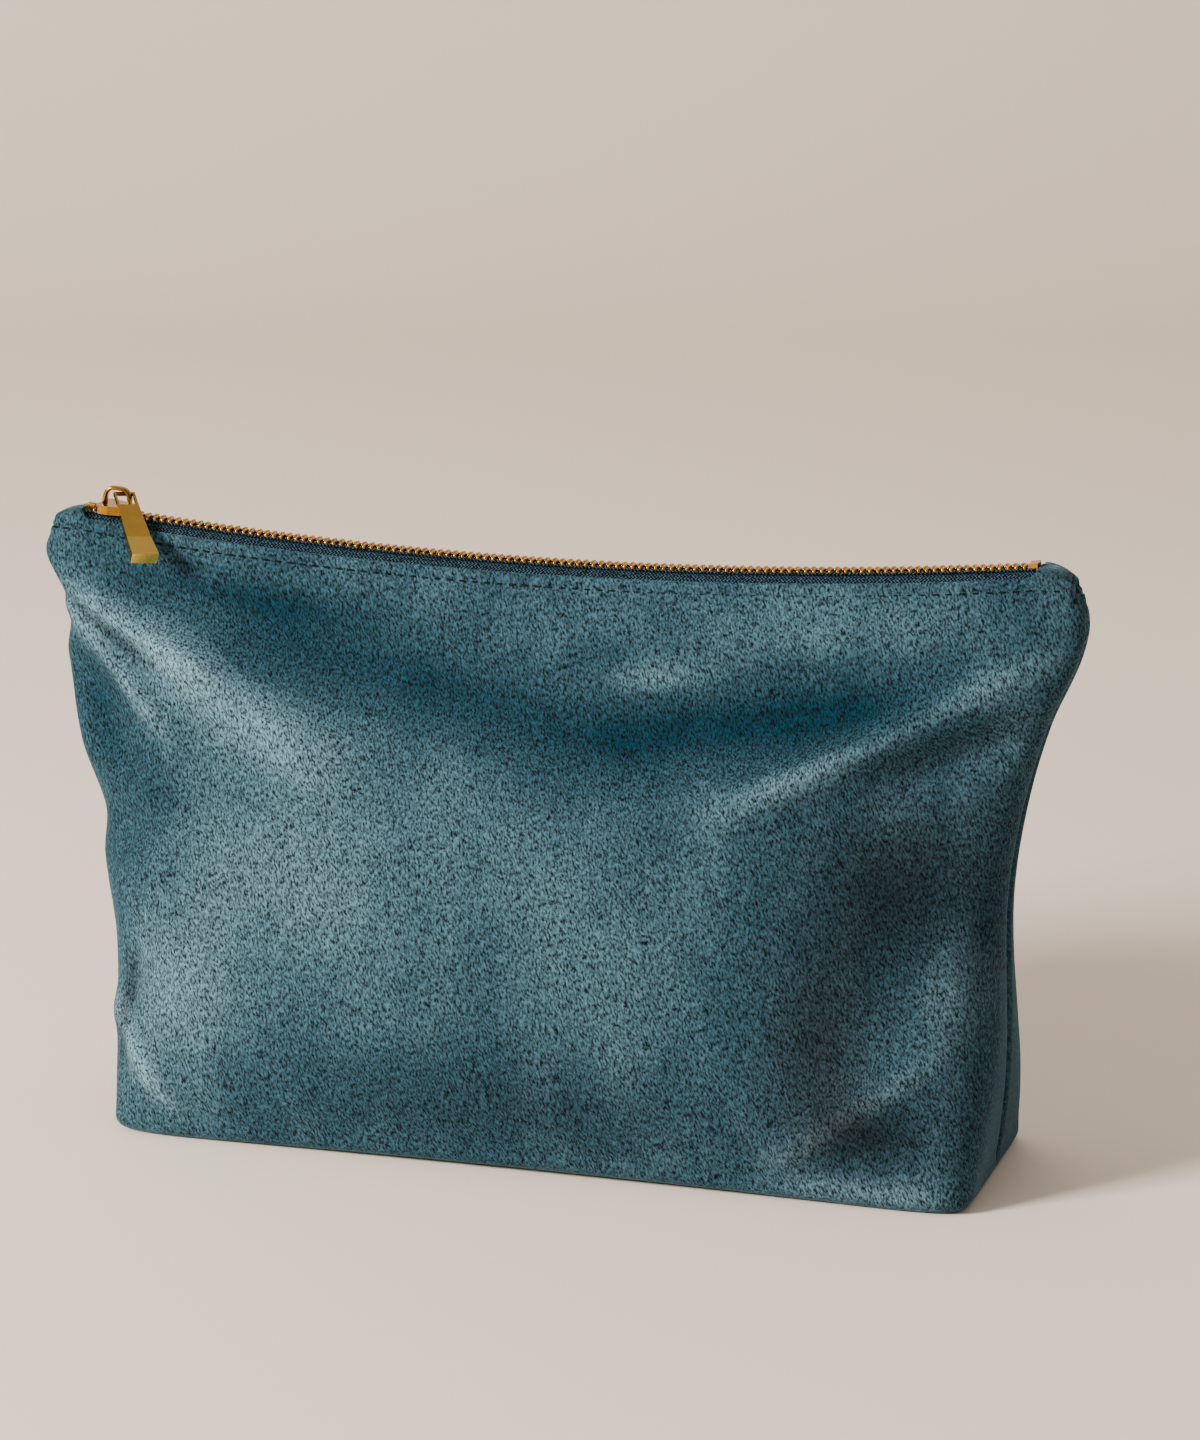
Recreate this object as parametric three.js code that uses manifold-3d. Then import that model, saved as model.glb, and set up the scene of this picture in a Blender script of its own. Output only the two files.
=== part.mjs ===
// A zippered velvet pouch with boxed bottom corners, in millimetres, +Z up.
// X runs along the zip, the front faces -Y, and the origin is the middle of the base on the table.
// The zip sags along a circular arc, so its slider travels on a turn about that arc's centre.
import * as THREE from 'three';
import { mergeVertices } from 'three/addons/utils/BufferGeometryUtils.js';
import Module from 'manifold-3d';

const wasm = await Module();
wasm.setup();

// --- driving dimensions -------------------------------------------------------------------
const ZIP_MID_HEIGHT = 156;      // chain centre above the table at the middle
const ZIP_RADIUS = 1210;         // radius of the sagging chain
const ZIP_HALF_LENGTH = 130;     // from the middle to each end tab
const TOP_HALF_WIDTH = 141;      // side seam at the rim
const CORNER_DROP = 8;           // how far the rim falls between zip end and side seam
const RIM_BELOW_ZIP = 2.8;       // folded fabric edge below the chain centre
const SEAM_HALF_GAP = 0.5;       // half the gap that the seam threads close
const BASE_EDGE_RADIUS = 5;
const GAP = 0.3;                 // clearance between touching layers
const VELVET = 1.2;
const INTERLINING = 0.5;
const TAPE = 0.5;
const LINING = 0.5;
const LINING_RIM_DROP = 2;       // the lining stops lower than the velvet, clear of the slider

// how far inside the outer face each layer starts
const INTERLINING_INSET = VELVET + GAP;
const TAPE_INSET = INTERLINING_INSET + INTERLINING + GAP;
const LINING_INSET = TAPE_INSET + TAPE + 2.5 * GAP;

// half-width and half-depth of the filled pouch, as [share of the height, size]
const HALF_WIDTH = [[0, 117.5], [0.25, 118.5], [0.45, 120], [0.6, 123.5], [0.75, 129.5],
  [0.88, 136.5], [1, TOP_HALF_WIDTH]];
const HALF_DEPTH = [[0, 36], [0.12, 37], [0.35, 33], [0.6, 24.5], [0.82, 14.5], [1, 7.2]];

// squareness of the plan section: crisp boxed corners at the base, rounder above
const SECTION_POWER = [[0, 9], [0.15, 6.5], [0.35, 5], [1, 5]];
const BASE_OFFSET = 5;           // the base stands this far towards +X of the rim's middle

const AROUND = 24;               // wall columns from side seam to side seam
const UPWARD = 8;                // wall rows above the rounded base edge

// --- zip ----------------------------------------------------------------------------------
const TOOTH_PITCH = 2.1;
const TOOTH_COUNT = 120;
const FIRST_TOOTH = -126;
const TOOTH_WIDTH = 0.74;
const TOOTH_HALF_THICK = 0.65;
const TOOTH_TIP_PAST_CENTRE = 0.2;
const CORD_INNER = 1.9;          // the tape's corded edge that holds the teeth
const CORD_OUTER = 2.6;
const PART_SHIFT = 1.0;          // how far each row is held apart in the slider's mouth
const STOP_START = 126.9;        // stops at both ends of the chain
const STOP_END = 129.3;
const TOPSTITCH_DROP = 2.4;      // below the folded edge
const TOPSTITCH_HALF_LENGTH = 131;
const SLIDER_X = -121;
const SLIDER_LENGTH = 9;
const BAIL_CROWN = 6.8;          // top of the bail above the chain centre
const CROSSBAR = new THREE.Vector3(1.75, 0, 5); // the pull's crossbar, through the bail
const PULL_HEADING = THREE.MathUtils.degToRad(52); // from +X towards the front, seen from above
const PULL_TILT = THREE.MathUtils.degToRad(64);  // from straight down
const PULL_LENGTH = 26;

const COLOURS = {
  velvet: [0x2f5f6d, 0.95, 0],
  interlining: [0xd8d4c8, 0.95, 0],
  lining: [0x2b4650, 0.8, 0],
  tape: [0x4a6472, 0.9, 0],
  thread: [0x234a55, 0.85, 0],
  metal: [0xc9973f, 0.28, 1],
};

const material = (key) => {
  const [color, roughness, metalness] = COLOURS[key];
  return new THREE.MeshStandardMaterial({ color, roughness, metalness });
};

// --- curves -------------------------------------------------------------------------------
const zipZ = (x) => ZIP_MID_HEIGHT + ZIP_RADIUS - Math.sqrt(ZIP_RADIUS ** 2 - x ** 2);

// a smooth curve through [position, value] stations
function through(stations, at) {
  const last = stations.length - 1;
  let i = 0;
  while (i < last - 1 && at > stations[i + 1][0]) i += 1;
  const slope = (k) => {
    const a = stations[Math.max(k - 1, 0)];
    const b = stations[Math.min(k + 1, last)];
    return (b[1] - a[1]) / (b[0] - a[0]);
  };
  const [p0, v0] = stations[i];
  const [p1, v1] = stations[i + 1];
  const span = p1 - p0;
  const s = THREE.MathUtils.clamp((at - p0) / span, 0, 1);
  const s2 = s * s;
  const s3 = s2 * s;
  return (2 * s3 - 3 * s2 + 1) * v0 + (s3 - 2 * s2 + s) * span * slope(i)
    + (3 * s2 - 2 * s3) * v1 + (s3 - s2) * span * slope(i + 1);
}

const baseOffset = (share) => BASE_OFFSET * (1 - share);

// height of the folded fabric edge over a point of the zip line
function rimZ(x) {
  const reach = Math.min(Math.abs(x), ZIP_HALF_LENGTH);
  const past = THREE.MathUtils.smoothstep(Math.abs(x), ZIP_HALF_LENGTH - 4, TOP_HALF_WIDTH);
  return zipZ(reach) - RIM_BELOW_ZIP - CORNER_DROP * past;
}

// one point of a layer: u runs from the left side seam to the right, share is the share of the
// wall's height, lift a height above the layer's own floor, and tuck pulls the point in
function wallPoint(side, inset, u, share, tuck, lift) {
  const angle = Math.PI * (1 - u);
  const bend = 2 / through(SECTION_POWER, share);
  const a = through(HALF_WIDTH, share) - inset - tuck;
  const b = through(HALF_DEPTH, share) - inset - tuck;
  const across = Math.sign(Math.cos(angle)) * Math.abs(Math.cos(angle)) ** bend;
  const out = u === 0 || u === 1 ? 0 : Math.sin(angle) ** bend;
  const x = a * across + baseOffset(share);
  const y = side * (SEAM_HALF_GAP + (b - SEAM_HALF_GAP) * out);
  const rim = rimZ(TOP_HALF_WIDTH * across) - (inset < LINING_INSET ? 0 : LINING_RIM_DROP);
  const z = share > 0 ? inset + share * (rim - inset) : inset + lift;
  return new THREE.Vector3(x, y, z);
}

// --- geometry helpers ---------------------------------------------------------------------
function signedVolume(positions, index) {
  const a = new THREE.Vector3();
  const b = new THREE.Vector3();
  const c = new THREE.Vector3();
  let volume = 0;
  for (let i = 0; i < index.length; i += 3) {
    a.fromBufferAttribute(positions, index[i]);
    b.fromBufferAttribute(positions, index[i + 1]);
    c.fromBufferAttribute(positions, index[i + 2]);
    volume += a.dot(b.cross(c)) / 6;
  }
  return volume;
}

// welds the vertices, drops empty triangles and turns every face outwards
function closed(geometry) {
  geometry.deleteAttribute('normal');
  geometry.deleteAttribute('uv');
  const welded = mergeVertices(geometry, 1e-3);
  const old = welded.index.array;
  let kept = [];
  for (let i = 0; i < old.length; i += 3) {
    const [a, b, c] = [old[i], old[i + 1], old[i + 2]];
    if (a !== b && b !== c && c !== a) kept.push(a, b, c);
  }
  if (signedVolume(welded.attributes.position, kept) < 0) {
    kept = kept.map((_, i) => kept[i - (i % 3) + 2 - (i % 3)]);
  }
  welded.setIndex(kept);
  welded.computeVertexNormals();
  return welded;
}

function fromPoints(points, triangles) {
  const geometry = new THREE.BufferGeometry();
  geometry.setAttribute('position', new THREE.Float32BufferAttribute(points.flatMap((p) => p.toArray()), 3));
  geometry.setIndex(triangles);
  return closed(geometry);
}

// a closed sheet between two grids of points with the same rows and columns
function sheet(outer, inner) {
  const rows = outer.length;
  const columns = outer[0].length;
  const points = [...outer.flat(), ...inner.flat()];
  const at = (layer, row, column) => layer * rows * columns + row * columns + column;
  const triangles = [];
  const quad = (a, b, c, d) => triangles.push(a, b, c, a, c, d);
  for (let r = 0; r < rows - 1; r += 1) {
    for (let k = 0; k < columns - 1; k += 1) {
      quad(at(0, r, k), at(0, r, k + 1), at(0, r + 1, k + 1), at(0, r + 1, k));
      quad(at(1, r, k), at(1, r + 1, k), at(1, r + 1, k + 1), at(1, r, k + 1));
    }
  }
  for (let k = 0; k < columns - 1; k += 1) {
    quad(at(0, 0, k), at(1, 0, k), at(1, 0, k + 1), at(0, 0, k + 1));
    quad(at(0, rows - 1, k), at(0, rows - 1, k + 1), at(1, rows - 1, k + 1), at(1, rows - 1, k));
  }
  for (let r = 0; r < rows - 1; r += 1) {
    quad(at(0, r, 0), at(0, r + 1, 0), at(1, r + 1, 0), at(1, r, 0));
    quad(at(0, r, columns - 1), at(1, r, columns - 1), at(1, r + 1, columns - 1), at(0, r + 1, columns - 1));
  }
  return fromPoints(points, triangles);
}

// a closed solid through sections that all have the same number of corners
function loft(sections) {
  const corners = sections[0].length;
  const points = sections.flat();
  const triangles = [];
  for (let r = 0; r < sections.length - 1; r += 1) {
    for (let k = 0; k < corners; k += 1) {
      const next = (k + 1) % corners;
      const [a, b] = [r * corners + k, r * corners + next];
      triangles.push(a, b, b + corners, a, b + corners, a + corners);
    }
  }
  const top = (sections.length - 1) * corners;
  for (let k = 1; k < corners - 1; k += 1) {
    triangles.push(0, k + 1, k);
    triangles.push(top, top + k, top + k + 1);
  }
  return fromPoints(points, triangles);
}

function toSolid(geometry) {
  const solid = closed(geometry);
  return new wasm.Manifold(new wasm.Mesh({
    numProp: 3,
    vertProperties: Float32Array.from(solid.attributes.position.array),
    triVerts: Uint32Array.from(solid.index.array),
  }));
}

function joined(...geometries) {
  const mesh = geometries.map(toSolid).reduce((a, b) => a.add(b)).getMesh();
  const geometry = new THREE.BufferGeometry();
  geometry.setAttribute('position', new THREE.BufferAttribute(Float32Array.from(mesh.vertProperties), 3));
  geometry.setIndex([...mesh.triVerts]);
  return closed(geometry);
}

const extruded = (shape, depth) => new THREE.ExtrudeGeometry(shape, {
  depth, bevelEnabled: false, curveSegments: 8,
});
const block = (x0, x1, y0, y1, z0, z1) => new THREE.BoxGeometry(x1 - x0, y1 - y0, z1 - z0)
  .translate((x0 + x1) / 2, (y0 + y1) / 2, (z0 + z1) / 2);

// lifts every point of a geometry drawn about z = 0 onto the sagging zip line
function onZipLine(geometry) {
  const position = geometry.attributes.position;
  for (let i = 0; i < position.count; i += 1) {
    position.setZ(i, position.getZ(i) + zipZ(position.getX(i)));
  }
  return geometry;
}

// --- fabric layers ------------------------------------------------------------------------
// rows of one face of a layer, from the base seam out to the base edge and up to the rim
function layerRows(side, inset) {
  const radius = BASE_EDGE_RADIUS - inset;
  const columns = Array.from({ length: AROUND + 1 }, (_, i) => i / AROUND);
  const turn = [0, 0.5, 1].map((k) => (k * Math.PI) / 2);
  const rows = turn.map((phi) => columns.map((u) => wallPoint(
    side, inset, u, 0, radius * (1 - Math.sin(phi)), radius * (1 - Math.cos(phi)),
  )));
  const seam = rows[0].map((p) => new THREE.Vector3(p.x, side * SEAM_HALF_GAP, p.z));
  const first = 0.08;
  for (let k = 0; k < UPWARD; k += 1) {
    const share = first + ((1 - first) * k) / (UPWARD - 1);
    rows.push(columns.map((u) => wallPoint(side, inset, u, share, 0, 0)));
  }
  return [seam, ...rows];
}

// y of a layer's face at a given x and height, read off its own rows
function layerY(side, inset, x, height) {
  const crossings = layerRows(side, inset).slice(3).map((row) => {
    const k = Math.max(row.findIndex((p) => p.x >= x), 1);
    return row[k - 1].clone().lerp(row[k], (x - row[k - 1].x) / (row[k].x - row[k - 1].x));
  });
  const above = crossings.findIndex((p) => p.z >= height);
  const k = above < 1 ? crossings.length - 1 : above;
  const [low, high] = [crossings[k - 1], crossings[k]];
  return THREE.MathUtils.lerp(low.y, high.y, (height - low.z) / (high.z - low.z));
}

const layer = (side, inset, thickness) => sheet(layerRows(side, inset), layerRows(side, inset + thickness));

// thread of the seams that join the two halves, seen in the plane of the zip
function sideSeam(direction) {
  const depth = VELVET - 2 * GAP;
  const thread = 0.4;
  const [foot, head, steps] = [0.06, 0.99, 11];
  const shares = Array.from({ length: steps + 1 }, (_, i) => THREE.MathUtils.lerp(foot, head, i / steps));
  const height = (share) => share * rimZ(TOP_HALF_WIDTH);
  const edge = (inset) => shares.map((s) => new THREE.Vector2(
    baseOffset(s) + direction * (through(HALF_WIDTH, s) - inset), height(s),
  ));
  const outline = [...edge(GAP), ...edge(GAP + depth).reverse()];
  return extruded(new THREE.Shape(outline), thread).rotateX(Math.PI / 2).translate(0, thread / 2, 0);
}

// stitching line just outside a panel, below its folded edge
function topstitch(side) {
  const thread = 0.5;
  const proud = 0.5;            // how far the thread's inner side stands off the velvet
  const steps = 40;
  const sections = Array.from({ length: steps + 1 }, (_, i) => {
    const x = TOPSTITCH_HALF_LENGTH * THREE.MathUtils.lerp(-1, 1, i / steps);
    const z = rimZ(x) - TOPSTITCH_DROP;
    const y = layerY(side, 0, x, z) + side * proud;
    return [[0, 0], [1, 0], [1, 1], [0, 1]].map(([out, up]) => new THREE.Vector3(
      x, y + side * out * thread, z + (up - 0.5) * thread,
    ));
  });
  return loft(sections);
}

// one woven tape: flat under the teeth, then down inside the wall
function zipTape(side) {
  const steps = 32;
  const freeEdge = 1.3;          // from the middle of the chain
  const fold = 3.6;              // where the tape turns down into the wall
  const turned = 3.3;            // depths below the chain centre
  const hem = 13;
  const flat = -(TOOTH_HALF_THICK + GAP);
  const wall = (x, below) => layerY(side, TAPE_INSET, x, zipZ(x) - below);
  const sections = Array.from({ length: steps + 1 }, (_, i) => {
    const x = THREE.MathUtils.lerp(-ZIP_HALF_LENGTH, ZIP_HALF_LENGTH, i / steps);
    const z = zipZ(x);
    const upper = [[side * freeEdge, flat], [side * fold, flat - 0.05], [wall(x, turned), -turned],
      [wall(x, hem), -hem]];
    const lower = [[wall(x, hem) - side * TAPE, -hem], [wall(x, turned) - side * TAPE, -turned - 0.2],
      [side * (fold - 0.35), flat - TAPE - 0.1], [side * freeEdge, flat - TAPE]];
    return [...upper, ...lower].map(([y, up]) => new THREE.Vector3(x, y, z + up));
  });
  return loft(sections);
}

// --- zip chain ----------------------------------------------------------------------------
// rows are parted where the slider's wedge stands between them
const parted = (x) => PART_SHIFT * (1 - THREE.MathUtils.smoothstep(x, SLIDER_X - 2, SLIDER_X + 2));

// a comb: the corded edge with one tooth at each pitch, half a pitch apart on the two sides
function teethRow(side) {
  const offset = side > 0 ? TOOTH_PITCH / 2 : 0;
  const depths = [CORD_OUTER, CORD_INNER, -TOOTH_TIP_PAST_CENTRE];
  const points = [];
  for (let i = 0; i < TOOTH_COUNT; i += 1) {
    const centre = FIRST_TOOTH + offset + i * TOOTH_PITCH;
    for (const x of [centre - TOOTH_WIDTH / 2, centre + TOOTH_WIDTH / 2]) {
      for (const depth of depths) {
        const y = side * (depth + parted(x));
        points.push(new THREE.Vector3(x, y, zipZ(x) - TOOTH_HALF_THICK));
        points.push(new THREE.Vector3(x, y, zipZ(x) + TOOTH_HALF_THICK));
      }
    }
  }
  // each station along the row has outer, inner and tip points, each one low and high
  const [outer, inner, tip] = [0, 2, 4];
  const perStation = 2 * depths.length;
  const triangles = [];
  const quad = (a, b, c, d) => triangles.push(a, b, c, a, c, d);
  const low = (station, place) => station * perStation + place;
  const high = (station, place) => station * perStation + place + 1;
  const between = (s, from, to) => {
    quad(low(s, from), low(s, to), low(s + 1, to), low(s + 1, from));
    quad(high(s, from), high(s + 1, from), high(s + 1, to), high(s, to));
  };
  const stations = 2 * TOOTH_COUNT;
  for (let s = 0; s < stations - 1; s += 1) {
    const onTooth = s % 2 === 0;
    const face = onTooth ? tip : inner;
    between(s, outer, inner);
    quad(low(s, outer), low(s + 1, outer), high(s + 1, outer), high(s, outer));
    quad(low(s, face), high(s, face), high(s + 1, face), low(s + 1, face));
    if (onTooth) {
      between(s, inner, tip);
      quad(low(s, inner), high(s, inner), high(s, tip), low(s, tip));
      quad(low(s + 1, inner), low(s + 1, tip), high(s + 1, tip), high(s + 1, inner));
    }
  }
  const last = stations - 1;
  quad(low(0, outer), high(0, outer), high(0, inner), low(0, inner));
  quad(low(last, outer), low(last, inner), high(last, inner), high(last, outer));
  return fromPoints(points, triangles);
}

const stop = (x0, x1, middle, half) => onZipLine(block(x0, x1, middle - half, middle + half, -0.75, 1));
const topStop = (side) => stop(-STOP_END, -STOP_START, side * 0.95, 0.6);
const bottomStop = () => stop(STOP_START, STOP_END, 0, 2.3);

// velvet folded over each end of the zip, resting on the rim between zip end and side seam
function endTab(direction) {
  const halfThick = 3.4;
  const clear = 0.5;             // above the rim it rests on
  const shoulder = 2;            // height of its outer end over the rim
  const crown = 1.4;             // above the chain centre
  const inner = ZIP_HALF_LENGTH + GAP;
  const outer = TOP_HALF_WIDTH - clear;
  const top = zipZ(ZIP_HALF_LENGTH) + crown;
  const steps = 6;
  const outline = [];
  for (let i = 0; i <= steps; i += 1) {
    const x = THREE.MathUtils.lerp(inner, outer, i / steps);
    outline.push(new THREE.Vector2(x, rimZ(x) + clear));
  }
  for (let i = 0; i <= steps; i += 1) {
    const turn = (Math.PI / 2) * (i / steps);
    const x = inner + (outer - inner) * Math.cos(turn);
    const low = rimZ(outer) + shoulder;
    outline.push(new THREE.Vector2(x, low + (top - low) * Math.sin(turn)));
  }
  const tab = extruded(new THREE.Shape(outline), 2 * halfThick).rotateX(Math.PI / 2).translate(0, halfThick, 0);
  return direction > 0 ? tab : tab.rotateZ(Math.PI);
}

// --- slider and pull, drawn about the chain centre at the slider's middle ------------------
function plate(halfNose, halfTail, z0, z1) {
  const half = SLIDER_LENGTH / 2;
  const shape = new THREE.Shape([
    [-half, -halfNose + 0.8], [-half + 0.8, -halfNose], [-half + 3.5, -halfNose], [half - 2.5, -halfTail],
    [half, -halfTail + 0.6], [half, halfTail - 0.6], [half - 2.5, halfTail], [-half + 3.5, halfNose],
    [-half + 0.8, halfNose], [-half, halfNose - 0.8],
  ].map(([x, y]) => new THREE.Vector2(x, y)));
  return extruded(shape, z1 - z0).translate(0, 0, z0);
}

function sliderBody() {
  const nose = 4.6;
  const tail = 3.6;
  const half = SLIDER_LENGTH / 2;
  const upper = plate(nose, tail, 0.95, 2);
  const lower = plate(3.0, 2.8, -2.8, -1.8);
  const wedge = extruded(new THREE.Shape([
    [-half + 0.2, -0.45], [-half + 3.2, -0.45], [-half + 4.2, 0], [-half + 3.2, 0.45], [-half + 0.2, 0.45],
  ].map(([x, y]) => new THREE.Vector2(x, y))), 3.2).translate(0, 0, -2);
  const flange = (side) => extruded(new THREE.Shape([
    [-half + 0.8, side * (nose - 0.55)], [-half + 3.5, side * (nose - 0.55)],
    [half - 2.5, side * (tail - 0.55)],
    [half - 0.3, side * (tail - 0.55)], [half - 0.3, side * (tail - 0.1)], [half - 2.5, side * tail],
    [-half + 3.5, side * nose], [-half + 0.8, side * nose],
  ].map(([x, y]) => new THREE.Vector2(x, y))), 1.4).translate(0, 0, -0.3);
  return joined(upper, lower, wedge, flange(1), flange(-1));
}

// an arched bail along the chain, standing on the slider's top plate
function sliderBail() {
  const foot = 2 + GAP;
  const bar = 0.8;
  const outerHalf = 4;
  const cornerRadius = 1.8;
  const arch = (half, top, radius) => {
    const left = [[-half, foot]];
    for (let i = 0; i <= 4; i += 1) {
      const turn = (Math.PI / 2) * (i / 4);
      left.push([-half + radius * (1 - Math.cos(turn)), top - radius * (1 - Math.sin(turn))]);
    }
    const right = left.map(([x, z]) => [-x, z]).reverse();
    return [...left, ...right].map(([x, z]) => new THREE.Vector2(x, z));
  };
  const outline = [
    ...arch(outerHalf, BAIL_CROWN, cornerRadius),
    ...arch(outerHalf - bar, BAIL_CROWN - bar, cornerRadius - bar).reverse(),
  ];
  return extruded(new THREE.Shape(outline), 0.7).rotateX(Math.PI / 2).translate(0, 0.35, 0);
}

// a bar pull: its crossbar lies through the bail, and a slim window leads to a plate that thickens
// to its end. It is drawn flat, width along x and length along y, then turned to hang in front.
function pullTab() {
  const frameThick = 0.9;
  const halfTop = 2.9;
  const halfWindow = 2.3;
  const crossbar = 0.35;
  const windowEnd = 4.8;
  const facet = 18;
  const corners = (pairs) => pairs.map(([x, y]) => new THREE.Vector2(x, y));
  const frame = new THREE.Shape(corners([
    [-halfTop, -crossbar], [halfTop, -crossbar], [halfTop, windowEnd + 1], [-halfTop, windowEnd + 1],
  ]));
  frame.holes.push(new THREE.Path(corners([
    [-halfWindow, crossbar], [-halfWindow, windowEnd], [halfWindow, windowEnd], [halfWindow, crossbar],
  ])));
  const ring = extruded(frame, frameThick).translate(0, 0, -frameThick / 2);
  const station = (s, half, back, front) => [[-half, back], [half, back], [half, front], [-half, front]]
    .map(([w, n]) => new THREE.Vector3(w, s, n));
  const bar = loft([
    station(windowEnd + 0.1, halfTop, -frameThick / 2, frameThick / 2),
    station(facet, 3.3, -1.4, 0.55),
    station(PULL_LENGTH, 3.6, -1.9, 1.3),
  ]);
  const [ch, sh] = [Math.cos(PULL_HEADING), Math.sin(PULL_HEADING)];
  const [ct, st] = [Math.cos(PULL_TILT), Math.sin(PULL_TILT)];
  const width = new THREE.Vector3(sh, ch, 0);
  const length = new THREE.Vector3(ch * st, -sh * st, -ct);
  const basis = new THREE.Matrix4().makeBasis(width, length, length.clone().cross(width));
  return joined(ring, bar).applyMatrix4(basis).translate(...CROSSBAR.toArray());
}

// --- assembly -----------------------------------------------------------------------------
const pouch = new THREE.Group();

function add(parent, name, geometry, key) {
  const mesh = new THREE.Mesh(closed(geometry), material(key));
  mesh.name = name;
  parent.add(mesh);
}

for (const [side, word] of [[-1, 'front'], [1, 'back']]) {
  add(pouch, `outer_${word}_panel`, layer(side, 0, VELVET), 'velvet');
  add(pouch, `interlining_${word}`, layer(side, INTERLINING_INSET, INTERLINING), 'interlining');
  add(pouch, `lining_${word}`, layer(side, LINING_INSET, LINING), 'lining');
  add(pouch, `zipper_tape_${word}`, zipTape(side), 'tape');
  add(pouch, `teeth_row_${word}`, teethRow(side), 'metal');
  add(pouch, `top_stop_${word}`, topStop(side), 'metal');
  add(pouch, `topstitch_${word}`, topstitch(side), 'thread');
}
for (const [direction, word] of [[-1, 'left'], [1, 'right']]) {
  add(pouch, `end_tab_${word}`, endTab(direction), 'velvet');
  add(pouch, `side_seam_thread_${word}`, sideSeam(direction), 'thread');
}
add(pouch, 'bottom_stop', bottomStop(), 'metal');
const baseHalf = HALF_WIDTH[0][1] - BASE_EDGE_RADIUS - 1;
const baseSeam = block(BASE_OFFSET - baseHalf, BASE_OFFSET + baseHalf, -0.2, 0.2, 0.3, 0.9);
add(pouch, 'bottom_seam_thread', baseSeam, 'thread');

const slider = new THREE.Group();
slider.position.set(SLIDER_X, 0, zipZ(SLIDER_X));
slider.rotation.y = -Math.asin(SLIDER_X / ZIP_RADIUS);
add(slider, 'slider_body', sliderBody(), 'metal');
add(slider, 'slider_bail', sliderBail(), 'metal');
add(slider, 'pull_tab', pullTab(), 'metal');
pouch.add(slider);

export default pouch;
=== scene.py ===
# A zippered velvet pouch with boxed bottom corners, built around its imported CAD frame.
# Lengths in this script are millimetres unless a name ends in _m; MM turns them into metres.
# X runs along the zip, the front faces -Y and the pouch stands on z = 0.
import math

import bmesh
import bpy
import numpy as np
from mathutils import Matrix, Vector


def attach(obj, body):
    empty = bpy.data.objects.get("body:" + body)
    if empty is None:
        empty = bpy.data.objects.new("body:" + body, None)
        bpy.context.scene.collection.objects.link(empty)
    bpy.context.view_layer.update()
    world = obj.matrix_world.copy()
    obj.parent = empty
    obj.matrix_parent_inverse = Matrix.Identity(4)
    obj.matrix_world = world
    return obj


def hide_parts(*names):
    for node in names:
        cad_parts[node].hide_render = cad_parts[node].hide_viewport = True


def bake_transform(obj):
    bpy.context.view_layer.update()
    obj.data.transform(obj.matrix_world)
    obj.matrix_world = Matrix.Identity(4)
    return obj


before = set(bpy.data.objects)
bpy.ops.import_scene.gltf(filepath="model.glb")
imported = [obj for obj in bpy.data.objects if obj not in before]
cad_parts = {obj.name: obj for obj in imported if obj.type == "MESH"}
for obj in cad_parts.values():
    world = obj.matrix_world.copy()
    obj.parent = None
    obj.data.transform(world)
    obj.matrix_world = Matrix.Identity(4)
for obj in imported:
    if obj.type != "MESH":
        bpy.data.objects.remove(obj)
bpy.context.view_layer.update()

MM = 0.001

# --- the pouch's sizes: those of the CAD, with a squarer foot and thinner layers -------
ZIP_MID_HEIGHT = 156.0
ZIP_RADIUS = 1210.0
ZIP_HALF_LENGTH = 130.0
TOP_HALF_WIDTH = 141.0
CORNER_DROP = 8.0
RIM_BELOW_ZIP = 2.8
SECTION_POWER = [(0, 15), (0.08, 8), (0.3, 3.6), (0.7, 3.4), (0.88, 4.4), (1, 5)]
BASE_OFFSET = 5.0
BASE_EDGE_RADIUS = 3.6
HALF_WIDTH = [(0, 117.5), (0.25, 118.5), (0.45, 120), (0.6, 123.5), (0.75, 129.5), (0.88, 136.5),
              (1, TOP_HALF_WIDTH)]
HALF_DEPTH = [(0, 36), (0.12, 37), (0.35, 33), (0.6, 24.5), (0.82, 14.5), (1, 7.2)]
SLIDER_X = -121.0
TOOTH_PITCH = 2.1
TOOTH_COUNT = 120
FIRST_TOOTH = -126.0
PART_SHIFT = 1.0

# layers of each wall: how far inside the outer face each one starts
VELVET = 1.0
INTERLINING = 0.4
LINING = 0.45
TAPE = 0.45
INTERLINING_INSET = 1.5
TAPE_INSET = 2.3
LINING_INSET = 3.5
INTERLINING_RIM_DROP = 0.8
LINING_RIM_DROP = 2.0

CORNER_AT = 0.78  # share of a wall's columns that its front takes; the rest go round the sides
SEAM_HALF_GAP = 0.06
SEAM_DIP = 1.3  # how deep the side seams lie in the pile
BASE_ARCH = 1.2  # how far the front's lower edge lifts off the table at its middle
TOPSTITCH_BELOW = 2.4
TAB_RISE = 2.2  # the corners of the velvet stand this far over the folded edge beside the zip
TAB_START = 128.8  # where they begin to, out from the middle


# --- curves of the pouch ----------------------------------------------------------------
def smooth(value, low, high):
    t = np.clip((np.asarray(value, float) - low) / (high - low), 0, 1)
    return t * t * (3 - 2 * t)


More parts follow.
